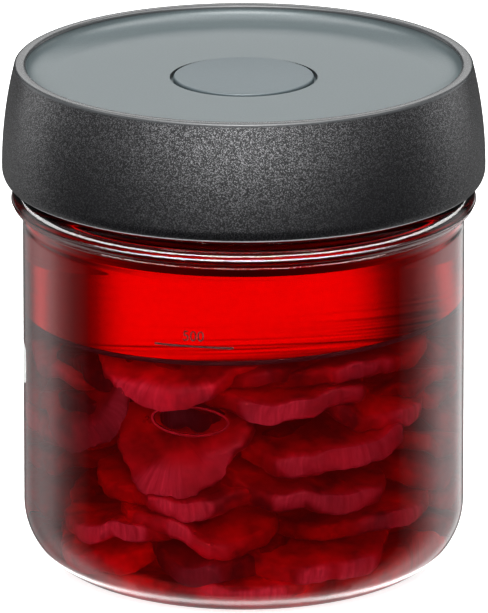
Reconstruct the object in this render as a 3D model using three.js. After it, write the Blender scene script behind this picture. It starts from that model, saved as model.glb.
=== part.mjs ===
// Fermentation jar: a wide glass jar with a round foot and a bead under its mouth, brine up to its level, and
// a wide cap with a dished top that holds a round button. Millimetres, +Z up, origin at the base's centre.
import * as THREE from "three";

// How finely round shapes are faceted
const ROUND_SEGMENTS = 60;
const ARC_STEPS = 6;
const EDGE_STEPS = 3;

// Clearance between pieces that lie against each other
const GAP = 0.3;

// Glass jar
const BORE_RADIUS = 50;
const WALL = 3.5;
const JAR_RADIUS = BORE_RADIUS + WALL;
const FOOT_ROUND = 16.5;
const BASE_THICKNESS = 4.2;
const BEAD_RADIUS = 56.3;
const BEAD_BOTTOM = 90;
const BEAD_WIDEST = 92.5;
const BEAD_TOP = 95.6;
const NECK_RADIUS = 52.6;
const LIP_ROUND = 1.2;

// Brine, whose level lies behind the cap's skirt
const BRINE_LEVEL = 100;

// Cap, with its dished top and the button's pocket
const TOTAL_HEIGHT = 126;
const SKIRT_BOTTOM = 97.2;
const SKIRT_EDGE_RADIUS = 56.4;
const SKIRT_WIDEST_RADIUS = 58.5;
const SKIRT_WIDEST = 100.5;
const NECK_CLEARANCE = 0.8;
const SKIRT_BORE_RADIUS = NECK_RADIUS + NECK_CLEARANCE;
const RIM_RADIUS = 55.5;
const RIM_INNER_RADIUS = 52.6;
const RIM_ROUND = 0.8;
const DISH_DEPTH = 3.7;
const DISH_SWEEP = 6.8;
const PANEL_THICKNESS = 2.6;
const PANEL_TOP = TOTAL_HEIGHT - DISH_DEPTH;
const PANEL_UNDERSIDE = PANEL_TOP - PANEL_THICKNESS;

// Button and its pocket in the panel
const BUTTON_RADIUS = 17;
const BUTTON_PROUD = 0.4;
const BUTTON_EDGE_ROUND = 0.5;
const POCKET_GROOVE = 0.85;
const POCKET_RADIUS = BUTTON_RADIUS + POCKET_GROOVE;
const POCKET_DEPTH = 1.4;
const POCKET_FLOOR = PANEL_TOP - POCKET_DEPTH;

// A point of a turned outline: its distance from the axis and its height
function at(radius, height) {
  return new THREE.Vector2(radius, height);
}

// A stretch of an ellipse in a turned outline, between two angles in degrees from the outward direction
function arc(centre, halfWidth, halfHeight, fromDegrees, toDegrees, steps = ARC_STEPS) {
  const points = [];
  for (let step = 0; step <= steps; step++) {
    const degrees = THREE.MathUtils.lerp(fromDegrees, toDegrees, step / steps);
    const angle = THREE.MathUtils.degToRad(degrees);
    const radius = centre.x + halfWidth * Math.cos(angle);
    const height = centre.y + halfHeight * Math.sin(angle);
    points.push(at(radius, height));
  }
  return points;
}

// A closed solid turned about the +Z axis from an outline that starts and ends on the axis
function turned(name, outline, material) {
  const geometry = new THREE.LatheGeometry(outline, ROUND_SEGMENTS);
  geometry.rotateX(Math.PI / 2);
  const mesh = new THREE.Mesh(geometry, material);
  mesh.name = name;
  return mesh;
}

// A rounded edge, the same radius both ways
function edge(centre, radius, fromDegrees, toDegrees) {
  return arc(centre, radius, radius, fromDegrees, toDegrees, EDGE_STEPS);
}

// The glass: round foot, straight wall, bead, plain neck and lip, then down the bore
function glassJar() {
  const innerFootRound = FOOT_ROUND - WALL;
  const innerFootCentre = at(BORE_RADIUS - innerFootRound, BASE_THICKNESS + innerFootRound);
  const outline = [
    at(0, 0),
    ...arc(at(JAR_RADIUS - FOOT_ROUND, FOOT_ROUND), FOOT_ROUND, FOOT_ROUND, -90, 0),
    ...arc(at(JAR_RADIUS, BEAD_WIDEST), BEAD_RADIUS - JAR_RADIUS, BEAD_WIDEST - BEAD_BOTTOM, -90, 0),
    ...arc(at(NECK_RADIUS, BEAD_WIDEST), BEAD_RADIUS - NECK_RADIUS, BEAD_TOP - BEAD_WIDEST, 0, 90).slice(1),
    ...edge(at(NECK_RADIUS - LIP_ROUND, PANEL_UNDERSIDE - LIP_ROUND), LIP_ROUND, 0, 90),
    at(BORE_RADIUS, PANEL_UNDERSIDE),
    ...arc(innerFootCentre, innerFootRound, innerFootRound, 0, -90),
    at(0, BASE_THICKNESS),
  ];
  const material = new THREE.MeshStandardMaterial({
    color: 0xe6ecec,
    roughness: 0.03,
    metalness: 0,
    transparent: true,
    opacity: 0.3,
  });
  return turned("glass_jar", outline, material);
}

// The brine: fills the bore up to its level
function brine() {
  const radius = BORE_RADIUS - GAP;
  const bottom = BASE_THICKNESS + GAP;
  const footRound = FOOT_ROUND - WALL - GAP;
  const outline = [
    at(0, bottom),
    ...arc(at(radius - footRound, bottom + footRound), footRound, footRound, -90, 0),
    at(radius, BRINE_LEVEL),
    at(0, BRINE_LEVEL),
  ];
  const material = new THREE.MeshStandardMaterial({ color: 0x9a0410, roughness: 0.1, metalness: 0 });
  return turned("brine", outline, material);
}

// The cap: hollow underneath for the neck, a skirt that bulges to its widest near the bottom, a dished top
function cap() {
  const skirtRise = TOTAL_HEIGHT - RIM_ROUND - SKIRT_WIDEST;
  const skirtBulge = SKIRT_WIDEST_RADIUS - RIM_RADIUS;
  const skirtArcRadius = (skirtRise ** 2 + skirtBulge ** 2) / (2 * skirtBulge);
  const skirtArcEnd = THREE.MathUtils.radToDeg(Math.asin(skirtRise / skirtArcRadius));
  const skirtArcCentre = at(SKIRT_WIDEST_RADIUS - skirtArcRadius, SKIRT_WIDEST);
  const edgeWidth = SKIRT_WIDEST_RADIUS - SKIRT_EDGE_RADIUS;
  const edgeHeight = SKIRT_WIDEST - SKIRT_BOTTOM;
  const dishHeight = DISH_DEPTH - RIM_ROUND;
  const dishCentre = at(RIM_INNER_RADIUS - DISH_SWEEP, PANEL_TOP + dishHeight);
  const outline = [
    at(0, PANEL_UNDERSIDE),
    at(SKIRT_BORE_RADIUS, PANEL_UNDERSIDE),
    at(SKIRT_BORE_RADIUS, SKIRT_BOTTOM),
    ...arc(at(SKIRT_EDGE_RADIUS, SKIRT_WIDEST), edgeWidth, edgeHeight, -90, 0),
    ...arc(skirtArcCentre, skirtArcRadius, skirtArcRadius, 0, skirtArcEnd).slice(1),
    ...edge(at(RIM_RADIUS - RIM_ROUND, TOTAL_HEIGHT - RIM_ROUND), RIM_ROUND, 0, 90).slice(1),
    ...edge(at(RIM_INNER_RADIUS + RIM_ROUND, TOTAL_HEIGHT - RIM_ROUND), RIM_ROUND, 90, 180),
    ...arc(dishCentre, DISH_SWEEP, dishHeight, 0, -90).slice(1),
    at(POCKET_RADIUS, PANEL_TOP),
    at(POCKET_RADIUS, POCKET_FLOOR),
    at(0, POCKET_FLOOR),
  ];
  const material = new THREE.MeshStandardMaterial({ color: 0x4a4d50, roughness: 0.5, metalness: 0.1 });
  return turned("cap", outline, material);
}

// The button: a disc that rests in the pocket and stands a little proud of the panel
function button() {
  const top = PANEL_TOP + BUTTON_PROUD;
  const edgeCentre = at(BUTTON_RADIUS - BUTTON_EDGE_ROUND, top - BUTTON_EDGE_ROUND);
  const outline = [
    at(0, POCKET_FLOOR),
    at(BUTTON_RADIUS, POCKET_FLOOR),
    ...edge(edgeCentre, BUTTON_EDGE_ROUND, 0, 90),
    at(0, top),
  ];
  const material = new THREE.MeshStandardMaterial({ color: 0x565c60, roughness: 0.5, metalness: 0.1 });
  return turned("cap_button", outline, material);
}

const jar = new THREE.Group();
jar.add(glassJar(), brine(), cap(), button());

export default jar;
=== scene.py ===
"""Looks of the fermentation jar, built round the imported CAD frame.

A clear glass jar holds beetroot slices in red brine under a press disc, and a charcoal cap closes it.
Shapes are worked out in millimetres and become metres when their mesh is made.
Outlines are points (distance from the axis, height) that are turned about the jar's axis.
Directions round the jar are azimuths in degrees: 0 faces the camera (-Y) and 90 faces +X.
"""
import math
from collections import namedtuple

import bmesh
import bpy
import numpy as np
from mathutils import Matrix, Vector


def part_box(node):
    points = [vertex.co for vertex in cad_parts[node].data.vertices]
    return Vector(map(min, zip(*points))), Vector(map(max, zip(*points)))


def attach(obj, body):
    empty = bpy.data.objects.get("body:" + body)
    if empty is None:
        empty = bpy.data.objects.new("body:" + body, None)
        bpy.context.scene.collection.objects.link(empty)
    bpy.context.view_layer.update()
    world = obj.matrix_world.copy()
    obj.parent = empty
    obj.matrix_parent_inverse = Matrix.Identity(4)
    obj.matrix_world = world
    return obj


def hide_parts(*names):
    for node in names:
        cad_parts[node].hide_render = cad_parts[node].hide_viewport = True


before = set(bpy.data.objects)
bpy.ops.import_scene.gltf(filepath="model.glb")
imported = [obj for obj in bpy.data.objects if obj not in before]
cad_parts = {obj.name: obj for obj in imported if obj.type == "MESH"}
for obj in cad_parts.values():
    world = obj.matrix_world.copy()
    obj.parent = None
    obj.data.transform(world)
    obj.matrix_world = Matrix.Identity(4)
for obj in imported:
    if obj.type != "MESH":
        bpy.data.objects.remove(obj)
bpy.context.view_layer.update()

MM = 0.001

# Sizes taken from the frame, in millimetres
CAP_LOW, CAP_HIGH = (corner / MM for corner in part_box("cap"))
GLASS_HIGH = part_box("glass_jar")[1] / MM
BRINE_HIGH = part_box("brine")[1] / MM
BUTTON_LOW, BUTTON_HIGH = (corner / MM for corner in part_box("cap_button"))

# Glass jar
BEAD_RADIUS = GLASS_HIGH.x
LIP_HEIGHT = GLASS_HIGH.z
WALL = 3.5
BORE_RADIUS = 50.0
JAR_RADIUS = BORE_RADIUS + WALL
FOOT_ROUND = 16.5
INNER_FOOT_ROUND = FOOT_ROUND - WALL
BASE_THICKNESS = 4.2
BEAD_BOTTOM = 90.0
BEAD_WIDEST = 92.5
BEAD_TOP = 95.6
NECK_RADIUS = 52.6
LIP_ROUND = 1.2

# Fine relief of the glass: a groove below the bead, a fine ring just under the bead and one near its widest
GROOVE_HEIGHT = 87.6
GROOVE_DEPTH = 0.2
GROOVE_HALF = 1.1
GROOVE_START = GROOVE_HEIGHT - 3 * GROOVE_HALF
RING_HEIGHTS = (89.55, 92.3)
RING_RISE = 0.16
RING_LOWER_SIDE = 0.25
RING_UPPER_SIDE = 0.4
RELIEF_STEP = 0.1
RELIEF_ARC_STEPS = 40

# Brine
BRINE_LEVEL = BRINE_HIGH.z
BRINE_INTO_WALL = 0.15
MENISCUS_RISE = 0.9
MENISCUS_WIDTH = 2.4

# Press disc, with how upright the normals of its flat faces are at least
DISC_TOP = 65.5
DISC_THICKNESS = 1.2
DISC_RADIUS = 49.2
DISC_EDGE_ROUND = 0.3
DISC_TILT = 1.9
DISC_DISH = 0.5
DISC_RINGS = 16
DISC_FLAT = 0.9

# Cap
CAP_TOP = CAP_HIGH.z
CAP_BOTTOM = CAP_LOW.z
SKIRT_WIDEST_RADIUS = CAP_HIGH.x
SKIRT_WIDEST = 100.5
SKIRT_EDGE_RADIUS = 56.4
NECK_CLEARANCE = 0.8
SKIRT_BORE_RADIUS = NECK_RADIUS + NECK_CLEARANCE
RIM_RADIUS = 55.5
RIM_INNER_RADIUS = 52.6
RIM_ROUND = 0.8
DISH_DEPTH = 3.7
DISH_SWEEP = 6.8
PANEL_TOP = CAP_TOP - DISH_DEPTH
# Height of the pale band along the skirt's lower edge, a painted highlight
EDGE_HIGHLIGHT_HEIGHT = 0.6

# Button and its pocket
BUTTON_RADIUS = BUTTON_HIGH.x
BUTTON_TOP = BUTTON_HIGH.z
BUTTON_EDGE_ROUND = 0.5
POCKET_GROOVE = 0.85
POCKET_RADIUS = BUTTON_RADIUS + POCKET_GROOVE
POCKET_FLOOR = BUTTON_LOW.z

# How finely round shapes are made, how near to its ends a straight run is held, and what counts as facing up
ROUND_SEGMENTS = 192
ARC_STEPS = 24
EDGE_STEPS = 6
SUPPORT = 0.25
SHARP_ANGLE = 35
FACING_UP = 0.5

# Beetroot slices. Waves round a slice are pairs of count and size
SLICE_SEED = 7
SLICE_CLEAR_OF_WALL = 0.3
SLICE_CLEAR_OF_FLOOR = 0.05
SLICE_SHARP_ANGLE = 60
SLICE_BEND = (-0.03, 0.06)
TOUCH_REACH = 0.8
LEAST_REACH = 1e-6
CORNER_SHARE = 0.32
RIM_WAVES = ((2, 0.09), (3, 0.07), (5, 0.05), (9, 0.035), (23, 0.014), (41, 0.010))
RUFFLE_WAVES = ((2, 1.5), (3, 1.2), (5, 0.8), (9, 0.4), (14, 0.25))
WAVE_STRENGTH = (0.4, 1.0)

# A slice's detail is its steps round the rim, across a face and over a corner
FRONT_SLICE_DETAIL = (132, 7, 3)
OTHER_SLICE_DETAIL = (60, 4, 2)

# A slice's rim meets the wall at an azimuth and height. With off_wall below 0 it is pressed flat on it
Slice = namedtuple("Slice", "azimuth rim_height radius tilt roll off_wall thickness tone")

# Slices seen from the front. Their tones also paint light and shade: the darkest stand for shade in gaps,
# the brightest for faces the lamps light
FRONT_SLICES = (
    Slice(-19, 53.6, 22.0, 38, 3, -0.8, 4.2, 1.55),
    # A very dark piece behind the largest bubble, put there as painted shade so that the bubble looks dark
    Slice(-15, 49.4, 10.0, 0, 0, 2.2, 8.0, 0.1),
    Slice(-19, 31.5, 16.0, 64, 3, -0.6, 4.0, 1.0),
    Slice(14, 51.5, 20.0, 17, -4, -0.8, 5.0, 1.0),
    Slice(38, 59.0, 19.0, 12, 5, -0.8, 4.5, 0.9),
    Slice(-2, 60.5, 20.0, 10, 2, 1.5, 4.0, 0.8),
    Slice(42, 46.5, 16.0, 20, -5, -0.6, 5.0, 1.0),
    Slice(26, 37.5, 22.0, 24, 7, -1.0, 6.0, 0.9),
    Slice(20, 26.5, 20.0, 26, -6, -0.6, 5.5, 0.75),
    Slice(41, 20.5, 18.0, 14, 7, -0.8, 4.5, 0.8),
    Slice(22, 10.5, 20.0, 24, 2, -0.4, 5.0, 1.1),
    Slice(-22, 27.0, 18.0, 20, 1, -0.8, 5.0, 1.1),
    Slice(-17, 20.5, 17.0, 14, -4, -0.8, 5.0, 1.1),
    Slice(-42, 17.5, 18.0, 16, 3, -0.8, 4.5, 1.05),
    Slice(-48, 9.5, 16.0, 20, 4, -0.4, 4.5, 1.5),
    Slice(-52, 38.5, 17.0, 58, 14, -0.6, 4.0, 0.5),
    Slice(0, 8.0, 18.0, 14, 0, -0.4, 5.0, 1.5),
    Slice(-12, 14.0, 18.0, 10, 3, 1.5, 5.0, 0.4),
    Slice(0, 6.0, 38.0, 0, 0, 0.6, 4.5, 1.7),
    Slice(0, 42.0, 15.0, 10, 0, 6.0, 5.0, 0.3),
    Slice(-48, 56.0, 15.0, 14, 0, 1.5, 5.0, 0.15),
    Slice(-50, 48.0, 15.0, 12, 4, 1.5, 5.0, 0.15),
)

# Slices round the back and sides, in columns, and a pile in the middle. Pairs are ranges for random draws
BACK_COLUMNS = (72, 108, 144, 180, 216, 252, 288)
BACK_LEVELS = 6
LEVEL_STEP = 8.8
COLUMN_STAGGER = 0.5
LOWEST_LEVEL = 9.5
HIGHEST_RIM = 57.0
OTHER_HEIGHT_SHIFT = (-2.5, 2.5)
OTHER_TURN_SHIFT = (-14, 14)
OTHER_TILT = (4, 30)
OTHER_ROLL = (-12, 12)
OTHER_RADIUS = (14, 20)
OTHER_OFF_WALL = 0.8
OTHER_THICKNESS = (3.5, 5.0)
# Tones below 1 darken these deeper slices as painted shade, besides varying at random
OTHER_TONE_AND_SHADING = (0.5, 0.9)
MIDDLE_LEVELS = 8
MIDDLE_STEP = 6.6
MIDDLE_TILT = (-8, 8)
MIDDLE_RADIUS = 22.0
MIDDLE_OFF_WALL = 27.0

# Air bubbles, with half sizes along the wall, upwards and into the jar
Bubble = namedtuple("Bubble", "azimuth height half_along half_up half_deep")
BUBBLES = (
    Bubble(-14.9, 50.4, 8.9, 3.3, 0.9),
    Bubble(-27.0, 50.2, 0.5, 0.5, 0.45),
    Bubble(-27.9, 49.3, 0.35, 0.35, 0.3),
    Bubble(-26.2, 49.2, 0.3, 0.3, 0.3),
    Bubble(-13.3, 22.4, 0.3, 0.3, 0.3),
    Bubble(-8.6, 20.0, 0.4, 0.35, 0.3),
)
BUBBLE_FILM = 0.25
BUBBLE_DETAIL = (40, 20)

# A pale ring of beetroot round the largest bubble, a painted highlight on the bubble's edge
HIGHLIGHT_RING_DETAIL = (64, 8)
HIGHLIGHT_RING_RADIUS = 0.3
HIGHLIGHT_RING_OFF_WALL = 0.7
HIGHLIGHT_RING_TONE = 1.2

# Prints on the glass, whose corners are the rounder the larger their value is
PRINT_THICKNESS = 0.05
PRINT_DETAIL = (96, 12)
MARK_AZIMUTH = -13.0
MARK_HEIGHT = 70.0
MARK_LENGTH = 19.5
MARK_WIDTH = 0.55
MARK_CORNERS = 0.15
MARK_NUMBER = "500"
NUMBER_SIZE = 3.6
NUMBER_RISE = 1.4
NUMBER_CURVE_STEPS = 6
JOIN_DISTANCE = 0.001
PATCH_AZIMUTH = -90.0
PATCH_HEIGHT = 52.0
PATCH_LENGTH = 18.0
PATCH_WIDTH = 10.0
PATCH_CORNERS = 0.35

# Clear materials, and the faint glow that stands for light scattered in the brine
GLASS_TINT = (0.98, 0.985, 0.985)
GLASS_REFRACTION = 1.5
BRINE_REFRACTION = 1.333
NO_MIRROR = (0, 0, 0, 1)
SCATTERED_COLOUR = (1.0, 0.02, 0.06, 1)
SCATTERED_STRENGTH = 0.03

# Camera, with the photograph's frame in pixels and its range of view in metres
IMAGE_WIDTH = 488
IMAGE_HEIGHT = 613
PIXELS_PER_MM = 4.12
CAMERA_DISTANCE = 3000.0
CAMERA_ELEVATION = 16.56
AIM_HEIGHT = 61.0
AIM_PIXEL_X = 243.7
AIM_PIXEL_Y = 320.3
SENSOR_HEIGHT = 24.0
VIEW_RANGE = 100.0

# Studio by direction: pairs of the angle from straight behind the jar and the brightness there
WORLD_STRENGTH = 2.0
WALL_ABOVE = (
    (0, 2.05), (14, 2.0), (17, 1.8), (20, 1.2), (23, 0.5), (26, 0.25), (30, 0.2), (35, 0.3), (40, 0.4),
    (44, 0.85), (47, 1.0), (51, 0.8), (55, 0.4), (60, 0.2), (74, 0.4), (80, 1.3), (115, 1.3), (128, 0.6),
    (140, 0.3), (158, 0.3), (164, 1.2), (180, 1.4),
)
WALL_LEVEL = ((0, 0.03), (38, 0.03), (48, 0.8), (62, 0.9), (80, 0.1), (92, 0.02), (180, 0.02))
WALL_BELOW = (
    (0, 0.05), (14, 0.1), (20, 0.22), (36, 0.25), (47, 0.3), (60, 0.3), (71, 0.15), (80, 0.05), (92, 0.01),
    (180, 0.01),
)
WALL_TOP = 0.1

# Elevations between which the studio changes: from its horizon to above, from above to its top, and to below
ABOVE_STARTS = (12, 15.5)
TOP_STARTS = (22, 27)
BELOW_STARTS = (-8, -12)

# Soft lights: place and aim in metres, width, height and radiance
TOP_LIGHT = ((0, 0, 1.6), (0, 0, 0), 2.0, 2.0, 3.2)
BACK_LIGHT = ((0, 2.0, 1.5), (0, 0, 0.1), 1.8, 1.2, 0.75)
FRONT_LIGHT = ((0, -1.4, 1.0), (0, 0, 0.05), 0.8, 0.7, 14.0)

# Floor
FLOOR_HALF = 4000.0
FLOOR_LEVEL = -0.2

# Glowing sheets: brightness by azimuth for the sides, by elevation for the rises, by distance for the rings
GLOW_DISTANCE = 2500.0
NEAR_FLOOR_LEVEL = -0.1
FLOOR_TURNS = range(0, 361, 10)
BAND_TURNS = range(0, 361, 5)
BAND_MEAN = 0.6
BAND_SWING = 0.4
BAND_SIDES = tuple((turn, BAND_MEAN + BAND_SWING * math.cos(math.radians(turn))) for turn in BAND_TURNS)
BAND_RISES = ((18, 12.0), (24, 22.0), (31, 22.0))
STRIP_SIDES = (
    (88, 0.02), (98, 0.12), (109, 0.4), (121, 0.8), (126, 0.9), (132, 0.8), (144, 0.75), (156, 1.1),
    (160, 1.0), (166, 0.2), (180, 0.05), (194, 0.1), (200, 0.22), (204, 0.24), (216, 0.2), (228, 0.5),
    (239, 0.62), (251, 0.26), (262, 0.09), (272, 0.01),
)
STRIP_RISES = ((-60, 0.6), (-40, 1.0), (-12, 1.0), (-8, 0.0))
FRONT_SIDES = (
    (-140, 0.12), (-115, 0.22), (-100, 0.18), (-85, 0.05), (-64, 0.12), (-49, 0.3), (-33, 0.55), (-17, 0.85),
    (0, 1), (17, 0.85), (33, 0.55), (49, 0.28), (64, 0.09), (85, 0.02), (100, 0.18), (115, 0.28), (140, 0.2),
)
FRONT_RISES = ((-30, 0.08), (-2, 0.1), (2, 1.9), (26, 1.6), (44, 2.5), (52, 16.0), (78, 16.0))
FILL_SIDES = (
    (55, 0.0), (75, 0.2), (100, 0.6), (125, 1.0), (140, 1.0), (160, 1.0), (180, 1.0), (200, 1.0), (220, 1.0),
    (235, 1.0), (260, 0.6), (285, 0.2), (305, 0.0),
)
FILL_RISES = ((10, 0.0), (18, 1.9), (50, 1.9), (60, 0.0))
NEAR_FLOOR_SIDES = tuple((turn, 1.0) for turn in FLOOR_TURNS)
NEAR_FLOOR_RINGS = (
    (1, 0.2), (44.3, 0.22), (45.2, 1.0), (46.2, 3.0), (47.2, 4.0), (48.2, 1.4), (49.2, 0.35), (51, 0.04),
    (53, 0.0), (60, 0.0),
)
FLOOR_FILL_RINGS = ((1, 0.9), (60, 0.9), (150, 0.4), (200, 0.0))


# Meshes

def angles_round(count):
    """Evenly spaced angles once round, in radians."""
    return np.arange(count) * 2 * math.pi / count


def ring_faces(around, rings, first=0, closed=False):
    """Quads between neighbouring rings of points, which are numbered ring by ring from first.

    A closed row of rings also has quads between its last ring and its first.
    """
    faces = []
    for ring in range(rings if closed else rings - 1):
        low = first + ring * around
        high = first + (ring + 1) % rings * around
        for step in range(around):
            after = (step + 1) % around
            faces.append((low + step, low + after, high + after, high + step))
    return faces


def fan_faces(pole, ring, around):
    """Triangles from a pole to a ring of points that starts at number ring."""
    return [(pole, ring + step, ring + (step + 1) % around) for step in range(around)]


def joined(shapes):
    """Several shapes, each with its points and faces, as one shape."""
    points = []
    faces = []
    count = 0
    for more_points, more_faces in shapes:
        points.append(more_points)
        faces += [tuple(corner + count for corner in face) for face in more_faces]
        count += len(more_points)
    return np.concatenate(points), faces


def mesh_object(name, points, faces, sharp_angle=SHARP_ANGLE, hollow_from=None):
    """A smooth-shaded mesh object from points in millimetres, its faces turned outwards.

    Faces from number hollow_from on bound hollows in the solid, so they are turned inwards.
    """
    mesh = bpy.data.meshes.new(name)
    mesh.from_pydata([tuple(point) for point in np.array(points) * MM], [], faces)
    shaper = bmesh.new()
    shaper.from_mesh(mesh)
    bmesh.ops.recalc_face_normals(shaper, faces=shaper.faces)
    if hollow_from is not None:
        hollow = [face for face in shaper.faces if face.index >= hollow_from]
        bmesh.ops.reverse_faces(shaper, faces=hollow)
    shaper.to_mesh(mesh)
    shaper.free()
    mesh.shade_smooth()
    mesh.set_sharp_from_angle(angle=math.radians(sharp_angle))
    thing = bpy.data.objects.new(name, mesh)
    bpy.context.scene.collection.objects.link(thing)
    return thing


def add_attribute(thing, name, values):
    """Gives each point of a mesh a number or a vector that its material reads."""
    values = np.array(values, np.float32)
    kind, field = ("FLOAT", "value") if values.ndim == 1 else ("FLOAT_VECTOR", "vector")
    thing.data.attributes.new(name, kind, "POINT").data.foreach_set(field, values.ravel())


# Turned shapes

def arc(centre, half_width, half_height, start, end, steps=ARC_STEPS):
    """Points of an ellipse from angle start to end, in degrees from the outward direction."""
    angles = np.radians(np.linspace(start, end, steps + 1))
    radii = centre[0] + half_width * np.cos(angles)
    heights = centre[1] + half_height * np.sin(angles)
    return list(zip(radii, heights))


def edge(centre, radius, start, end):
    """A small rounded edge."""
    return arc(centre, radius, radius, start, end, EDGE_STEPS)


def upright(radius, start, end):
    """Two points just inside the ends of an upright run, so that smooth shading leaves the run straight."""
    step = math.copysign(SUPPORT, end - start)
    return [(radius, start + step), (radius, end - step)]


def turned_shape(outline):
    """Points and faces turned about the axis from an outline that starts and ends on the axis."""
    angles = angles_round(ROUND_SEGMENTS)
    radii, heights = np.array(outline[1:-1]).T
    x = np.outer(radii, np.cos(angles)).ravel()
    y = np.outer(radii, np.sin(angles)).ravel()
    rings = np.stack([x, y, np.repeat(heights, ROUND_SEGMENTS)], axis=1)
    points = np.concatenate([[(0, 0, outline[0][1])], rings, [(0, 0, outline[-1][1])]])
    last_pole = len(points) - 1
    faces = fan_faces(0, 1, ROUND_SEGMENTS)
    faces += ring_faces(ROUND_SEGMENTS, len(radii), first=1)
    faces += fan_faces(last_pole, last_pole - ROUND_SEGMENTS, ROUND_SEGMENTS)
    return points, faces


def turned(name, outline):
    """A closed mesh turned about the axis."""
    return mesh_object(name, *turned_shape(outline))


def bead_outline():
    """The groove, the bead and its fine rings, from the straight wall up to the neck."""
    reach = BEAD_RADIUS - RING_RISE
    lower = (JAR_RADIUS, BEAD_WIDEST)
    upper = (NECK_RADIUS, BEAD_WIDEST)
    outline = [(JAR_RADIUS, height) for height in np.arange(GROOVE_START, BEAD_BOTTOM, RELIEF_STEP)]
    outline += arc(lower, reach - JAR_RADIUS, BEAD_WIDEST - BEAD_BOTTOM, -90, 0, RELIEF_ARC_STEPS)
    outline += arc(upper, reach - NECK_RADIUS, BEAD_TOP - BEAD_WIDEST, 0, 90, RELIEF_ARC_STEPS)[1:]
    radii, heights = np.array(outline).T
    radii = radii - GROOVE_DEPTH * np.exp(-((heights - GROOVE_HEIGHT) / GROOVE_HALF) ** 2)
    for ring in RING_HEIGHTS:
        tent = (ring - RING_LOWER_SIDE, ring, ring + RING_UPPER_SIDE)
        radii += np.interp(heights, tent, (0, RING_RISE, 0))
    return list(zip(radii, heights))


def glass_outline():
    """Round foot, straight wall, bead, neck and lip, then down the bore."""
    foot_centre = (JAR_RADIUS - FOOT_ROUND, FOOT_ROUND)
    inner_centre = (BORE_RADIUS - INNER_FOOT_ROUND, BASE_THICKNESS + INNER_FOOT_ROUND)
    bead = bead_outline()
    outline = [(0, 0)]
    outline += arc(foot_centre, FOOT_ROUND, FOOT_ROUND, -90, 0)
    outline += upright(JAR_RADIUS, FOOT_ROUND, bead[0][1])
    outline += bead
    outline += edge((NECK_RADIUS - LIP_ROUND, LIP_HEIGHT - LIP_ROUND), LIP_ROUND, 0, 90)
    outline += [(BORE_RADIUS, LIP_HEIGHT), (BORE_RADIUS, BRINE_LEVEL)]
    outline += upright(BORE_RADIUS, BRINE_LEVEL, inner_centre[1])
    outline += arc(inner_centre, INNER_FOOT_ROUND, INNER_FOOT_ROUND, 0, -90)
    outline += [(0, BASE_THICKNESS)]
    return outline


def brine_outline():
    """The bore's own form up to the level, a little into the wall, with the surface climbing at the wall."""
    radius = BORE_RADIUS + BRINE_INTO_WALL
    bottom = BASE_THICKNESS - BRINE_INTO_WALL
    foot_round = INNER_FOOT_ROUND + BRINE_INTO_WALL
    foot_centre = (radius - foot_round, bottom + foot_round)
    brim = BRINE_LEVEL + MENISCUS_RISE
    outline = [(0, bottom)]
    outline += arc(foot_centre, foot_round, foot_round, -90, 0)
    outline += upright(radius, foot_centre[1], brim)
    outline += arc((radius - MENISCUS_WIDTH, brim), MENISCUS_WIDTH, MENISCUS_RISE, 0, -90, EDGE_STEPS)
    outline += [(0, BRINE_LEVEL)]
    return outline


def disc_outline():
    """A flat plate with round edges."""
    bottom = DISC_TOP - DISC_THICKNESS
    middle = DISC_RADIUS - DISC_EDGE_ROUND
    radii = np.linspace(0, middle - SUPPORT, DISC_RINGS)
    outline = [(radius, bottom) for radius in radii]
    outline += edge((middle, bottom + DISC_EDGE_ROUND), DISC_EDGE_ROUND, -90, 0)
    outline += edge((middle, DISC_TOP - DISC_EDGE_ROUND), DISC_EDGE_ROUND, 0, 90)
    outline += [(radius, DISC_TOP) for radius in radii[::-1]]
    return outline


def disc_lift(x):
    """How much higher than at its middle the tilted disc lies at a distance to the right."""
    return x * math.tan(math.radians(DISC_TILT))


def disc_object():
    """The press disc, slightly dished, its right side a little higher."""
    points, faces = turned_shape(disc_outline())
    reach = np.hypot(points[:, 0], points[:, 1]) / DISC_RADIUS
    points[:, 2] += disc_lift(points[:, 0]) + DISC_DISH * reach ** 2
    return mesh_object("press_disc", points, faces)


def cap_outline():
    """Underside, skirt, rim and dish, down into the button's pocket."""
    rim_start = CAP_TOP - RIM_ROUND
    rise = rim_start - SKIRT_WIDEST
    bulge = SKIRT_WIDEST_RADIUS - RIM_RADIUS
    skirt_radius = (rise ** 2 + bulge ** 2) / (2 * bulge)
    skirt_centre = (SKIRT_WIDEST_RADIUS - skirt_radius, SKIRT_WIDEST)
    skirt_end = math.degrees(math.asin(rise / skirt_radius))
    edge_centre = (SKIRT_EDGE_RADIUS, SKIRT_WIDEST)
    edge_width = SKIRT_WIDEST_RADIUS - SKIRT_EDGE_RADIUS
    dish_height = DISH_DEPTH - RIM_ROUND
    dish_centre = (RIM_INNER_RADIUS - DISH_SWEEP, PANEL_TOP + dish_height)
    outline = [(0, LIP_HEIGHT), (SKIRT_BORE_RADIUS, LIP_HEIGHT), (SKIRT_BORE_RADIUS, CAP_BOTTOM)]
    outline += arc(edge_centre, edge_width, SKIRT_WIDEST - CAP_BOTTOM, -90, 0)
    outline += arc(skirt_centre, skirt_radius, skirt_radius, 0, skirt_end)[1:]
    outline += edge((RIM_RADIUS - RIM_ROUND, rim_start), RIM_ROUND, 0, 90)[1:]
    outline += edge((RIM_INNER_RADIUS + RIM_ROUND, rim_start), RIM_ROUND, 90, 180)
    outline += arc(dish_centre, DISH_SWEEP, dish_height, 0, -90)[1:]
    outline += [(POCKET_RADIUS, PANEL_TOP), (POCKET_RADIUS, POCKET_FLOOR), (0, POCKET_FLOOR)]
    return outline


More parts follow.
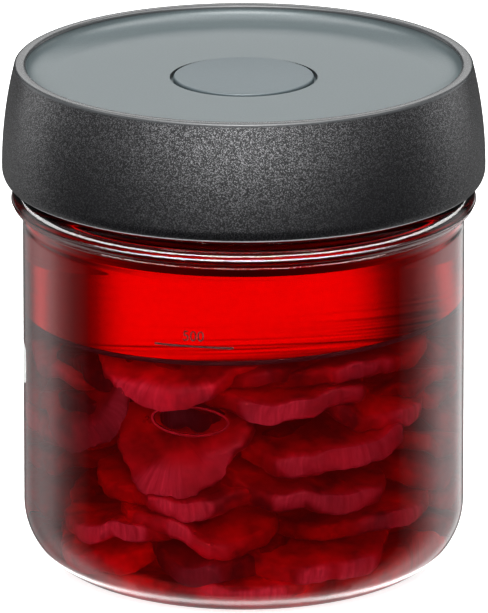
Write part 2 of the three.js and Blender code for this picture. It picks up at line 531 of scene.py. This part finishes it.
def button_outline():
    """A disc with a rounded upper edge."""
    edge_centre = (BUTTON_RADIUS - BUTTON_EDGE_ROUND, BUTTON_TOP - BUTTON_EDGE_ROUND)
    outline = [(0, POCKET_FLOOR), (BUTTON_RADIUS, POCKET_FLOOR)]
    outline += edge(edge_centre, BUTTON_EDGE_ROUND, 0, 90)
    outline += [(0, BUTTON_TOP)]
    return outline


# Beetroot slices

def bore_radius_at(height):
    """The bore's radius at a height, smaller in the round of its foot."""
    below = np.clip(BASE_THICKNESS + INNER_FOOT_ROUND - height, 0, INNER_FOOT_ROUND)
    return BORE_RADIUS - INNER_FOOT_ROUND + np.sqrt(INNER_FOOT_ROUND ** 2 - below ** 2)


def waves_round(rng, angles, waves):
    """A sum of waves round a slice, each of a random strength and phase."""
    total = np.zeros_like(angles)
    for count, size in waves:
        strength = size * rng.uniform(*WAVE_STRENGTH)
        total += strength * np.cos(count * angles + rng.uniform(0, 2 * math.pi))
    return total


def slice_stations(thickness, across, over):
    """A slice's cross-section from its upper middle round the rim to its lower middle.

    Each station has its share of the way out, its reach beyond the corner's start, its height and its place,
    which is the share on the faces and 1 to 2 from the top to the bottom of the rim.
    """
    half = thickness / 2
    corner = CORNER_SHARE * thickness
    shares = np.linspace(0, 1, across + 1)[1:]
    turns = np.radians(np.linspace(90, 0, over + 1)[1:])
    upper = [(corner * math.cos(turn), half - corner + corner * math.sin(turn)) for turn in turns]
    lower = [(out, -height) for out, height in reversed(upper)]
    stations = [(share, 0.0, half, share) for share in shares]
    stations += [(1.0, out, height, 1 + (half - height) / thickness) for out, height in upper + lower]
    stations += [(share, 0.0, -half, share) for share in shares[::-1]]
    return stations


def slice_shape(rng, radius, thickness, detail):
    """An uneven round slice lying flat: its points, its faces, and where each point lies on it.

    Where a point lies is its direction from the slice's middle, as cosine and sine, and its station's place.
    """
    around, across, over = detail
    angles = angles_round(around)
    rim = radius * (1 + waves_round(rng, angles, RIM_WAVES)) - CORNER_SHARE * thickness
    ruffle = waves_round(rng, angles, RUFFLE_WAVES)
    bend = rng.uniform(*SLICE_BEND)
    stations = slice_stations(thickness, across, over)
    points = []
    about = []
    for share, out, height, place in stations:
        reach = rim * share + out
        lift = bend * reach ** 2 / radius + ruffle * share ** 2
        points.append(np.stack([reach * np.cos(angles), reach * np.sin(angles), height + lift], axis=1))
        about.append(np.stack([np.cos(angles), np.sin(angles), np.full(around, place)], axis=1))
    poles = [(0, 0, thickness / 2), (0, 0, -thickness / 2)]
    points = np.concatenate(points + [poles])
    about = np.concatenate(about + [np.zeros((2, 3))])
    top_pole = len(stations) * around
    faces = fan_faces(top_pole, 0, around)
    faces += ring_faces(around, len(stations))
    faces += fan_faces(top_pole + 1, top_pole - around, around)
    return points, faces, about


def placed(points, row):
    """Turns a flat slice so that its rim meets the wall where its row says, tilted and rolled."""
    turn = math.radians(row.azimuth)
    tilt = math.radians(row.tilt)
    roll = math.radians(row.roll)
    wall = bore_radius_at(row.rim_height) - row.off_wall
    up = np.array([0, 0, 1.0])
    outward = np.array([math.sin(turn), -math.cos(turn), 0])
    sideways = np.array([math.cos(turn), math.sin(turn), 0])
    along = outward * math.cos(tilt) - up * math.sin(tilt)
    normal = up * math.cos(tilt) + outward * math.sin(tilt)
    across = sideways * math.cos(roll) + normal * math.sin(roll)
    normal = normal * math.cos(roll) - sideways * math.sin(roll)
    centre = outward * wall + up * row.rim_height - along * row.radius
    return centre + points[:, :1] * along + points[:, 1:2] * across + points[:, 2:] * normal


def kept_inside(points):
    """Presses points back inside the bore and under the disc, and tells how far each touches the wall."""
    floor = BASE_THICKNESS + SLICE_CLEAR_OF_FLOOR
    ceiling = DISC_TOP + disc_lift(points[:, 0]) - DISC_THICKNESS - SLICE_CLEAR_OF_WALL
    points[:, 2] = np.clip(points[:, 2], floor, ceiling)
    reach = np.hypot(points[:, 0], points[:, 1])
    most = bore_radius_at(points[:, 2]) - SLICE_CLEAR_OF_WALL
    points[:, :2] *= np.minimum(1, most / np.maximum(reach, LEAST_REACH))[:, None]
    touch = np.clip((reach - most) / TOUCH_REACH + 1, 0, 1)
    return points, touch


def other_slices(rng):
    """Slices round the rest of the wall, in uneven columns, and a loose pile of them in the middle."""
    rows = []
    for column, azimuth in enumerate(BACK_COLUMNS):
        for level in range(BACK_LEVELS):
            step = level + COLUMN_STAGGER * (column % 2)
            height = LOWEST_LEVEL + LEVEL_STEP * step + rng.uniform(*OTHER_HEIGHT_SHIFT)
            height = min(height, HIGHEST_RIM)
            turn = azimuth + rng.uniform(*OTHER_TURN_SHIFT)
            tilt = rng.uniform(*OTHER_TILT)
            roll = rng.uniform(*OTHER_ROLL)
            thickness = rng.uniform(*OTHER_THICKNESS)
            radius = rng.uniform(*OTHER_RADIUS)
            tone = rng.uniform(*OTHER_TONE_AND_SHADING)
            rows.append(Slice(turn, height, radius, tilt, roll, OTHER_OFF_WALL, thickness, tone))
    for level in range(MIDDLE_LEVELS):
        height = LOWEST_LEVEL + MIDDLE_STEP * level
        turn = rng.uniform(0, 360)
        tilt = rng.uniform(*MIDDLE_TILT)
        roll = rng.uniform(*MIDDLE_TILT)
        thickness = rng.uniform(*OTHER_THICKNESS)
        tone = rng.uniform(*OTHER_TONE_AND_SHADING)
        rows.append(Slice(turn, height, MIDDLE_RADIUS, tilt, roll, MIDDLE_OFF_WALL, thickness, tone))
    return rows


def slices_object():
    """All slices and the painted highlight ring round the largest bubble as one mesh, with the attributes
    that the slice material reads.
    """
    rng = np.random.default_rng(SLICE_SEED)
    rows = [(row, FRONT_SLICE_DETAIL) for row in FRONT_SLICES]
    rows += [(row, OTHER_SLICE_DETAIL) for row in other_slices(rng)]
    shapes = []
    looks = []
    for row, detail in rows:
        points, faces, about = slice_shape(rng, row.radius, row.thickness, detail)
        points, touch = kept_inside(placed(points, row))
        shapes.append((points, faces))
        looks.append((about, np.full(len(points), row.tone), touch))
    points, faces = bubble_highlight_ring_shape()
    count = len(points)
    shapes.append((points, faces))
    looks.append((np.zeros((count, 3)), np.full(count, HIGHLIGHT_RING_TONE), np.ones(count)))
    thing = mesh_object("beetroot_slices", *joined(shapes), SLICE_SHARP_ANGLE)
    for name, values in zip(("around", "tone", "touch"), zip(*looks)):
        add_attribute(thing, name, np.concatenate(values))
    return thing


# Brine and its air bubbles

def on_wall(along, height, reach, azimuth):
    """Points from distances along the wall, heights and distances from the axis, round an azimuth."""
    turn = math.radians(azimuth) + along / reach
    return np.stack([reach * np.sin(turn), -reach * np.cos(turn), height], axis=-1)


def bubble_shape(azimuth, height, half_along, half_up, half_deep):
    """A flattened bubble that follows the wall."""
    around, over = BUBBLE_DETAIL
    rises = np.linspace(-math.pi / 2, math.pi / 2, over + 1)[1:-1]
    rise, turn = np.meshgrid(rises, angles_round(around), indexing="ij")
    middle = BORE_RADIUS - BUBBLE_FILM - half_deep
    along = np.append((half_along * np.cos(rise) * np.cos(turn)).ravel(), (0, 0))
    deep = np.append((half_deep * np.cos(rise) * np.sin(turn)).ravel(), (0, 0))
    up = np.append((half_up * np.sin(rise)).ravel(), (-half_up, half_up))
    points = on_wall(along, height + up, middle + deep, azimuth)
    low_pole = len(rises) * around
    faces = fan_faces(low_pole, 0, around)
    faces += ring_faces(around, len(rises))
    faces += fan_faces(low_pole + 1, low_pole - around, around)
    return points, faces


def bubble_highlight_ring_shape():
    """A painted highlight round the largest bubble: a thin pale tube of beetroot along the wall."""
    bubble = BUBBLES[0]
    around, across = HIGHLIGHT_RING_DETAIL
    turn, section = np.meshgrid(angles_round(around), angles_round(across), indexing="ij")
    out = HIGHLIGHT_RING_RADIUS * (1 + np.cos(section))
    along = (bubble.half_along + out) * np.cos(turn)
    up = (bubble.half_up + out) * np.sin(turn)
    reach = BORE_RADIUS - HIGHLIGHT_RING_OFF_WALL + HIGHLIGHT_RING_RADIUS * np.sin(section)
    points = on_wall(along.ravel(), bubble.height + up.ravel(), reach.ravel(), bubble.azimuth)
    return points, ring_faces(across, around, closed=True)


def brine_object():
    """The brine with its air bubbles as hollows in it."""
    body = turned_shape(brine_outline())
    bubbles = [bubble_shape(*bubble) for bubble in BUBBLES]
    return mesh_object("brine_liquid", *joined([body] + bubbles), hollow_from=len(body[1]))


# Prints on the glass

def patch_shape(azimuth, height, length, width, corners):
    """A thin patch on the wall, a rectangle with rounded corners."""
    around, rings = PRINT_DETAIL
    turns = angles_round(around) + math.pi / around
    cosine = np.cos(turns)
    sine = np.sin(turns)
    outline_along = length / 2 * np.sign(cosine) * np.abs(cosine) ** corners
    outline_up = width / 2 * np.sign(sine) * np.abs(sine) ** corners
    shares = np.linspace(0, 1, rings + 1)[1:]
    along = np.append(np.outer(shares, outline_along), 0)
    up = height + np.append(np.outer(shares, outline_up), 0)
    low = on_wall(along, up, JAR_RADIUS, azimuth)
    high = on_wall(along, up, JAR_RADIUS + PRINT_THICKNESS, azimuth)
    count = len(low)
    faces = []
    for side in (0, count):
        faces += fan_faces(side + count - 1, side, around)
        faces += ring_faces(around, rings, first=side)
    outer = (rings - 1) * around
    for step in range(around):
        here = outer + step
        after = outer + (step + 1) % around
        faces.append((here, after, count + after, count + here))
    return np.concatenate([low, high]), faces


def number_shape():
    """The mark's number, bent round the wall above the line."""
    letters = bpy.data.curves.new("number", "FONT")
    letters.body = MARK_NUMBER
    letters.size = NUMBER_SIZE
    letters.align_x = "CENTER"
    letters.extrude = PRINT_THICKNESS / 2
    letters.resolution_u = NUMBER_CURVE_STEPS
    writing = bpy.data.objects.new("number", letters)
    bpy.context.scene.collection.objects.link(writing)
    ready = writing.evaluated_get(bpy.context.evaluated_depsgraph_get())
    flat = bpy.data.meshes.new_from_object(ready)
    joiner = bmesh.new()
    joiner.from_mesh(flat)
    bmesh.ops.remove_doubles(joiner, verts=joiner.verts, dist=JOIN_DISTANCE)
    joiner.to_mesh(flat)
    joiner.free()
    along, up, out = np.array([corner.co for corner in flat.vertices]).T
    reach = JAR_RADIUS + PRINT_THICKNESS / 2 + out
    points = on_wall(along, MARK_HEIGHT + NUMBER_RISE + up, reach, MARK_AZIMUTH)
    faces = [tuple(face.vertices) for face in flat.polygons]
    bpy.data.objects.remove(writing)
    bpy.data.curves.remove(letters)
    bpy.data.meshes.remove(flat)
    return points, faces


def mark_object():
    """The fill mark: a line and its number."""
    line = patch_shape(MARK_AZIMUTH, MARK_HEIGHT, MARK_LENGTH, MARK_WIDTH, MARK_CORNERS)
    return mesh_object("fill_mark", *joined([line, number_shape()]))


def patch_object():
    """The plain light patch on the jar's side."""
    patch = patch_shape(PATCH_AZIMUTH, PATCH_HEIGHT, PATCH_LENGTH, PATCH_WIDTH, PATCH_CORNERS)
    return mesh_object("side_patch", *patch)


# Node trees

class Nodes:
    """A node tree, with short ways to add and link nodes."""

    def __init__(self, tree):
        self.tree = tree

    def add(self, kind, **inputs):
        """A new node, with plain values for some of its inputs."""
        node = self.tree.nodes.new(kind)
        for name, value in inputs.items():
            node.inputs[name].default_value = value
        return node

    def link(self, source, target):
        self.tree.links.new(source, target)

    def feed(self, target, value):
        """Links a socket to an input, or sets a plain value on it."""
        if isinstance(value, bpy.types.NodeSocket):
            self.link(value, target)
        else:
            target.default_value = value

    def calculate(self, operation, *terms):
        """A maths node whose terms are sockets or numbers."""
        node = self.add("ShaderNodeMath")
        node.operation = operation
        for target, term in zip(node.inputs, terms):
            self.feed(target, term)
        return node.outputs[0]

    def place(self):
        """Where a point lies on the object."""
        return self.add("ShaderNodeTexCoord").outputs["Object"]

    def stretched(self, vector, scale):
        """A vector multiplied by a scale along each axis."""
        node = self.add("ShaderNodeVectorMath")
        node.operation = "MULTIPLY"
        node.inputs[1].default_value = scale
        self.link(vector, node.inputs[0])
        return node.outputs[0]

    def noise(self, scale, detail=2.0, roughness=0.5, vector=None):
        """Noise by the place on the object, or by another vector."""
        node = self.add("ShaderNodeTexNoise", Scale=scale, Detail=detail, Roughness=roughness)
        self.link(vector or self.place(), node.inputs["Vector"])
        return node.outputs["Fac"]

    def ramp(self, source, stops):
        """A colour ramp through stops of a place and its colour."""
        node = self.add("ShaderNodeValToRGB")
        elements = node.color_ramp.elements
        while len(elements) < len(stops):
            elements.new(0.5)
        for element, (place, colour) in zip(elements, stops):
            element.position = place
            element.color = (*colour, 1)
        self.link(source, node.inputs["Fac"])
        return node.outputs["Color"]

    def mix(self, share, first, second):
        """A mix of two colours."""
        node = self.add("ShaderNodeMix")
        node.data_type = "RGBA"
        sockets = {socket.identifier: socket for socket in node.inputs}
        self.link(share, sockets["Factor_Float"])
        self.feed(sockets["A_Color"], first)
        self.feed(sockets["B_Color"], second)
        return [socket for socket in node.outputs if socket.type == "RGBA"][0]

    def attribute(self, name):
        """An attribute of the mesh."""
        node = self.add("ShaderNodeAttribute")
        node.attribute_name = name
        return node


class MaterialNodes(Nodes):
    """The node tree of a new material with its one shader."""

    def __init__(self, name):
        self.material = bpy.data.materials.new(name)
        self.material.use_nodes = True
        super().__init__(self.material.node_tree)
        self.shader = self.tree.nodes["Principled BSDF"]
        self.output = self.tree.nodes["Material Output"]

    def set(self, **values):
        """Plain values for the shader, whose names have _ for each space."""
        for name, value in values.items():
            self.shader.inputs[name.replace("_", " ")].default_value = value

    def colour(self, source, *stops):
        """Colours the surface by a ramp."""
        self.link(self.ramp(source, stops), self.shader.inputs["Base Color"])

    def bump(self, source, strength, distance):
        """Roughens the surface by a height."""
        node = self.add("ShaderNodeBump", Strength=strength, Distance=distance)
        self.link(source, node.inputs["Height"])
        self.link(node.outputs["Normal"], self.shader.inputs["Normal"])


# Materials

def clear_nodes(name, colour, refraction):
    """The start of a clear material."""
    nodes = MaterialNodes(name)
    nodes.set(Base_Color=(*colour, 1), Roughness=0.0, IOR=refraction, Transmission_Weight=1.0)
    return nodes


def glass_material():
    """Clear glass, very slightly uneven."""
    nodes = clear_nodes("clear_glass", GLASS_TINT, GLASS_REFRACTION)
    nodes.bump(nodes.noise(25), strength=0.03, distance=0.001)
    return nodes.material


def wet_glass_material():
    """Glass that brine lies against, which mirrors nothing."""
    nodes = clear_nodes("wet_glass", GLASS_TINT, GLASS_REFRACTION)
    nodes.set(Specular_Tint=NO_MIRROR)
    return nodes.material


def brine_material():
    """Clear red liquid that takes up the other colours."""
    nodes = clear_nodes("red_brine", (1, 1, 1), BRINE_REFRACTION)
    nodes.set(Specular_Tint=NO_MIRROR)
    absorb = nodes.add("ShaderNodeVolumeAbsorption", Color=(0.985, 0.0, 0.12, 1), Density=400.0)
    nodes.link(absorb.outputs["Volume"], nodes.output.inputs["Volume"])
    return nodes.material


def disc_material():
    """Bright steel, brushed from side to side."""
    nodes = MaterialNodes("press_disc_steel")
    nodes.set(Metallic=1.0, Roughness=0.06)
    nodes.colour(nodes.noise(400), (0.3, (0.75, 0.75, 0.76)), (0.7, (0.85, 0.85, 0.86)))
    brushed = nodes.stretched(nodes.place(), (0.12, 1, 1))
    nodes.bump(nodes.noise(150, 1.0, vector=brushed), strength=1.0, distance=0.0001)
    return nodes.material


def disc_rim_material():
    """The disc's dark rim."""
    nodes = MaterialNodes("press_disc_rim")
    nodes.set(Roughness=0.6, Emission_Color=SCATTERED_COLOUR, Emission_Strength=SCATTERED_STRENGTH)
    nodes.colour(nodes.noise(400), (0.3, (0.02, 0.003, 0.004)), (0.7, (0.04, 0.006, 0.008)))
    return nodes.material


def slice_material():
    """Clouded beetroot scaled by each slice's tone, which also paints shade and light, with pale fibres in
    patches where it touches the wall.
    """
    nodes = MaterialNodes("beetroot")
    nodes.set(Roughness=0.5, Specular_IOR_Level=0.15)
    nodes.set(Emission_Color=SCATTERED_COLOUR, Emission_Strength=SCATTERED_STRENGTH)
    along_rim = nodes.stretched(nodes.attribute("around").outputs["Vector"], (16, 16, 0.8))
    fibre = nodes.noise(1.0, 3, 0.6, along_rim)
    cloud = nodes.noise(90, 3, 0.55)
    flesh = nodes.ramp(cloud, (
        (0.35, (0.17, 0.001, 0.003)),
        (0.5, (0.42, 0.002, 0.010)),
        (0.7, (0.72, 0.008, 0.030)),
    ))
    streak = nodes.ramp(fibre, ((0.3, (0.56, 0.006, 0.026)), (0.75, (0.90, 0.040, 0.092))))
    patch = nodes.ramp(nodes.noise(60, 1.0), ((0.38, (0.1, 0.1, 0.1)), (0.62, (1, 1, 1))))
    amount = nodes.calculate("MULTIPLY", nodes.attribute("touch").outputs["Fac"], patch)
    # Each slice's tone scales its colour, darker as painted shade or brighter as painted light
    toned_and_shaded = nodes.add("ShaderNodeVectorMath")
    toned_and_shaded.operation = "SCALE"
    nodes.link(nodes.mix(amount, flesh, streak), toned_and_shaded.inputs[0])
    nodes.link(nodes.attribute("tone").outputs["Fac"], toned_and_shaded.inputs["Scale"])
    nodes.link(toned_and_shaded.outputs[0], nodes.shader.inputs["Base Color"])
    nodes.bump(fibre, strength=0.35, distance=0.0005)
    return nodes.material


def cap_material():
    """Charcoal plastic full of fine bright flakes."""
    nodes = MaterialNodes("charcoal_plastic")
    nodes.set(Roughness=0.3)
    cells = nodes.add("ShaderNodeTexVoronoi", Scale=5500)
    nodes.link(nodes.place(), cells.inputs["Vector"])
    parts = nodes.add("ShaderNodeSeparateColor")
    nodes.link(cells.outputs["Color"], parts.inputs[0])
    chance = parts.outputs["Red"]
    nodes.colour(chance, (0.5, (0.006, 0.006, 0.007)), (1.0, (0.34, 0.34, 0.35)))
    flake = nodes.ramp(chance, ((0.45, (0, 0, 0)), (0.55, (1, 1, 1))))
    nodes.link(flake, nodes.shader.inputs["Metallic"])
    nodes.bump(chance, strength=0.2, distance=0.0002)
    return nodes.material


def cap_edge_highlight_material():
    """A painted highlight: the pale line along the skirt's lower edge."""
    nodes = MaterialNodes("painted_edge_highlight")
    nodes.set(Roughness=0.4)
    nodes.colour(nodes.noise(900), (0.35, (0.20, 0.20, 0.21)), (0.65, (0.26, 0.26, 0.27)))
    return nodes.material


def satin_material(name, roughness, scale, darker, lighter, strength):
    """Satin plastic with a fine grain."""
    nodes = MaterialNodes(name)
    nodes.set(Roughness=roughness)
    grain = nodes.noise(scale, 1.0)
    nodes.colour(grain, (0.35, darker), (0.7, lighter))
    nodes.bump(grain, strength, distance=0.0002)
    return nodes.material


def cap_rim_material():
    """The cap's smooth dark rim."""
    darker = (0.026, 0.028, 0.030)
    lighter = (0.036, 0.039, 0.041)
    return satin_material("smooth_cap_rim", 0.25, 2200, darker, lighter, 0.06)


def panel_material():
    """The cap's dished panel."""
    darker = (0.054, 0.071, 0.075)
    lighter = (0.066, 0.087, 0.092)
    return satin_material("satin_panel", 0.36, 2200, darker, lighter, 0.08)


def button_material():
    """The button, a little rougher than the panel."""
    darker = (0.050, 0.068, 0.075)
    lighter = (0.061, 0.082, 0.090)
    return satin_material("satin_plastic", 0.4, 3200, darker, lighter, 0.12)


def print_material(name, darker, lighter, cover=1.0):
    """A thin layer of print that may let some of the glass through."""
    nodes = MaterialNodes(name)
    nodes.set(Roughness=0.5, Alpha=cover)
    nodes.colour(nodes.noise(900), (0.35, darker), (0.65, lighter))
    return nodes.material


def mark_material():
    """The fill mark's dark print."""
    return print_material("dark_print", (0.012, 0.010, 0.010), (0.030, 0.026, 0.026), 0.65)


def patch_material():
    """The side patch's light print."""
    return print_material("light_print", (0.62, 0.62, 0.61), (0.74, 0.74, 0.73))


def floor_material():
    """A pale floor that glows a little, so that it stays white under the jar."""
    nodes = MaterialNodes("pale_floor")
    nodes.set(Roughness=0.8, Emission_Color=(1, 1, 1, 1), Emission_Strength=0.8)
    nodes.colour(nodes.noise(3), (0.3, (0.86, 0.86, 0.86)), (0.7, (0.90, 0.90, 0.90)))
    return nodes.material


def glow_material(name, for_contents):
    """A clear sheet's glow. One for the contents shines only on rays that have already met the contents."""
    nodes = MaterialNodes(name)
    strength = nodes.attribute("glow").outputs["Fac"]
    if for_contents:
        bounces = nodes.add("ShaderNodeLightPath").outputs["Diffuse Depth"]
        strength = nodes.calculate("MULTIPLY", strength, nodes.calculate("MINIMUM", bounces, 1.0))
    glow = nodes.add("ShaderNodeEmission")
    nodes.link(strength, glow.inputs["Strength"])
    both = nodes.add("ShaderNodeAddShader")
    nodes.link(glow.outputs[0], both.inputs[0])
    nodes.link(nodes.add("ShaderNodeBsdfTransparent").outputs[0], both.inputs[1])
    nodes.link(both.outputs[0], nodes.output.inputs["Surface"])
    nodes.tree.nodes.remove(nodes.shader)
    nodes.material.cycles.emission_sampling = "NONE"
    return nodes.material


# The object's pieces

def add_piece(thing, material, node=None):
    """Gives a piece its material and ties it to the frame."""
    thing.data.materials.append(material)
    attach(thing, "root")
    if node:
        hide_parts(node)


def wet_faces(jar):
    """Gives the bore below the brine's level the wet glass."""
    jar.data.materials.append(wet_glass_material())
    wall_middle = (BORE_RADIUS + WALL / 2) * MM
    base_middle = BASE_THICKNESS / 2 * MM
    for face in jar.data.polygons:
        place = Vector(face.center)
        normal = Vector(face.normal)
        inside = place.xy.length < wall_middle and base_middle < place.z < BRINE_LEVEL * MM
        inward = normal.z > FACING_UP or normal.xy.dot(place.xy) < 0
        if inside and inward:
            face.material_index = 1


def cap_faces(cap):
    """Gives the panel, the skirt's lower edge, which carries a painted highlight line, and the rim materials
    of their own.
    """
    for material in (panel_material(), cap_edge_highlight_material(), cap_rim_material()):
        cap.data.materials.append(material)
    for face in cap.data.polygons:
        reach = Vector(face.center).xy.length
        height = face.center.z
        if height > LIP_HEIGHT * MM and reach < RIM_INNER_RADIUS * MM and face.normal.z > 0:
            face.material_index = 1
        elif height < (CAP_BOTTOM + EDGE_HIGHLIGHT_HEIGHT) * MM and reach > SKIRT_EDGE_RADIUS * MM:
            face.material_index = 2
        elif height > (CAP_TOP - RIM_ROUND) * MM:
            face.material_index = 3


def disc_faces(disc):
    """Gives the disc's rim a material of its own."""
    disc.data.materials.append(disc_rim_material())
    for face in disc.data.polygons:
        if abs(face.normal.z) < DISC_FLAT:
            face.material_index = 1


def build_object():
    """Builds all pieces and returns the glass, the cap and the button."""
    jar = turned("jar_glass", glass_outline())
    add_piece(jar, glass_material(), "glass_jar")
    wet_faces(jar)
    add_piece(brine_object(), brine_material(), "brine")
    add_piece(mark_object(), mark_material())
    add_piece(patch_object(), patch_material())
    cap = turned("cap_shell", cap_outline())
    add_piece(cap, cap_material(), "cap")
    cap_faces(cap)
    button = turned("button_disc", button_outline())
    add_piece(button, button_material(), "cap_button")
    disc = disc_object()
    add_piece(disc, disc_material())
    disc_faces(disc)
    add_piece(slices_object(), slice_material())
    return jar, cap, button


# Stage

def build_floor():
    """A wide pale floor that shows in no reflection."""
    signs = ((-1, -1), (1, -1), (1, 1), (-1, 1))
    corners = [(FLOOR_HALF * x, FLOOR_HALF * y, FLOOR_LEVEL) for x, y in signs]
    floor = mesh_object("floor", corners, [(0, 1, 2, 3)])
    floor.data.materials.append(floor_material())
    floor.visible_glossy = False
    floor.visible_transmission = False


def glowing_sheet(name, rows, sides, point_at, for_contents=False):
    """A clear sheet that glows by row and by side.

    It is seen in reflections alone, or it lights the jar's contents alone.
    """
    points = [point_at(row, math.radians(turn)) for row, level in rows for turn, share in sides]
    glow = [level * share for row, level in rows for turn, share in sides]
    columns = len(sides)
    faces = []
    for row in range(len(rows) - 1):
        for step in range(columns - 1):
            low = row * columns + step
            faces.append((low, low + 1, low + columns + 1, low + columns))
    sheet = mesh_object(name, points, faces)
    add_attribute(sheet, "glow", glow)
    sheet.data.materials.append(glow_material(name, for_contents))
    sheet.visible_camera = False
    sheet.visible_diffuse = False
    sheet.visible_transmission = for_contents
    sheet.visible_glossy = not for_contents
    sheet.visible_volume_scatter = False
    sheet.visible_shadow = False
    return sheet


def dome_point(rise, turn):
    """A point far off at an elevation in degrees and an azimuth in radians."""
    flat = GLOW_DISTANCE * math.cos(math.radians(rise))
    return flat * math.sin(turn), -flat * math.cos(turn), GLOW_DISTANCE * math.sin(math.radians(rise))


def floor_point(radius, turn):
    """A point of the floor round the foot."""
    return radius * math.sin(turn), -radius * math.cos(turn), NEAR_FLOOR_LEVEL


def lights_only(light, things):
    """Lets a bright surface shine on a few things alone."""
    receivers = bpy.data.collections.new(light.name + "_receivers")
    for thing in things:
        receivers.objects.link(thing)
    light.light_linking.receiver_collection = receivers


def build_glows(glass, cap, button):
    """Sheets that the glass, the cap and button, and the foot mirror, and two that light the contents."""
    band = glowing_sheet("bright_band", BAND_RISES, BAND_SIDES, dome_point)
    front = glowing_sheet("soft_front", FRONT_RISES, FRONT_SIDES, dome_point)
    glowing_sheet("near_floor", NEAR_FLOOR_RINGS, NEAR_FLOOR_SIDES, floor_point)
    strips = glowing_sheet("side_strips", STRIP_RISES, STRIP_SIDES, dome_point)
    glowing_sheet("contents_fill", FILL_RISES, FILL_SIDES, dome_point, for_contents=True)
    glowing_sheet("floor_fill", FLOOR_FILL_RINGS, NEAR_FLOOR_SIDES, floor_point, for_contents=True)
    lights_only(band, [glass])
    lights_only(strips, [glass])
    lights_only(front, [cap, button])


def soft_light(name, place, target, width, height, radiance):
    """A soft rectangular light of an even radiance, aimed at a point."""
    light = bpy.data.lights.new(name, "AREA")
    light.shape = "RECTANGLE"
    light.size = width
    light.size_y = height
    light.energy = radiance * math.pi * width * height
    thing = bpy.data.objects.new(name, light)
    thing.location = place
    thing.rotation_euler = (Vector(target) - Vector(place)).to_track_quat("-Z", "Y").to_euler()
    thing.visible_camera = False
    bpy.context.scene.collection.objects.link(thing)
    return thing


def build_world():
    """A studio by direction: bright behind the jar, with a dark horizon and a dim top."""
    world = bpy.data.worlds.new("studio")
    world.use_nodes = True
    nodes = Nodes(world.node_tree)
    background = nodes.tree.nodes["Background"]
    parts = nodes.add("ShaderNodeSeparateXYZ")
    nodes.link(nodes.add("ShaderNodeTexCoord").outputs["Generated"], parts.inputs[0])
    turn = nodes.calculate("ARCTAN2", parts.outputs["X"], parts.outputs["Y"])
    half_turns = nodes.calculate("DIVIDE", nodes.calculate("ABSOLUTE", turn), math.pi)

    def grey(value):
        return (value / WORLD_STRENGTH,) * 3

    def brightness(rows):
        return nodes.ramp(half_turns, [(angle / 180, grey(value)) for angle, value in rows])

    def share_between(start, end):
        node = nodes.add("ShaderNodeMapRange")
        node.inputs["From Min"].default_value = math.sin(math.radians(start))
        node.inputs["From Max"].default_value = math.sin(math.radians(end))
        nodes.link(parts.outputs["Z"], node.inputs["Value"])
        return node.outputs["Result"]

    studio = nodes.mix(share_between(*ABOVE_STARTS), brightness(WALL_LEVEL), brightness(WALL_ABOVE))
    studio = nodes.mix(share_between(*TOP_STARTS), studio, (*grey(WALL_TOP), 1))
    studio = nodes.mix(share_between(*BELOW_STARTS), studio, brightness(WALL_BELOW))
    nodes.link(studio, background.inputs["Color"])
    background.inputs["Strength"].default_value = WORLD_STRENGTH
    bpy.context.scene.world = world


def build_lights():
    """Three soft lights. The back one doesn't show through glass, and the front one in no reflection."""
    soft_light("top_light", *TOP_LIGHT)
    back_light = soft_light("back_light", *BACK_LIGHT)
    back_light.visible_transmission = False
    front_light = soft_light("front_light", *FRONT_LIGHT)
    front_light.visible_glossy = False


def build_camera():
    """A camera that gives the photograph's view."""
    lens = bpy.data.cameras.new("camera")
    lens.sensor_fit = "VERTICAL"
    lens.sensor_height = SENSOR_HEIGHT
    lens.lens = SENSOR_HEIGHT * PIXELS_PER_MM * CAMERA_DISTANCE / IMAGE_HEIGHT
    lens.clip_end = VIEW_RANGE
    elevation = math.radians(CAMERA_ELEVATION)
    back = Vector((0, -math.cos(elevation), math.sin(elevation)))
    up = Vector((0, math.sin(elevation), math.cos(elevation)))
    right = Vector((1, 0, 0))
    aim = Vector((0, 0, AIM_HEIGHT))
    aim += up * (AIM_PIXEL_Y - IMAGE_HEIGHT / 2) / PIXELS_PER_MM
    aim += right * (IMAGE_WIDTH / 2 - AIM_PIXEL_X) / PIXELS_PER_MM
    camera = bpy.data.objects.new("camera", lens)
    camera.location = (aim + back * CAMERA_DISTANCE) * MM
    camera.rotation_euler = (-back).to_track_quat("-Z", "Y").to_euler()
    bpy.context.scene.collection.objects.link(camera)
    bpy.context.scene.camera = camera


glass, cap, button = build_object()
build_floor()
build_lights()
build_world()
build_glows(glass, cap, button)
build_camera()
bpy.context.scene.view_settings.view_transform = "Standard"
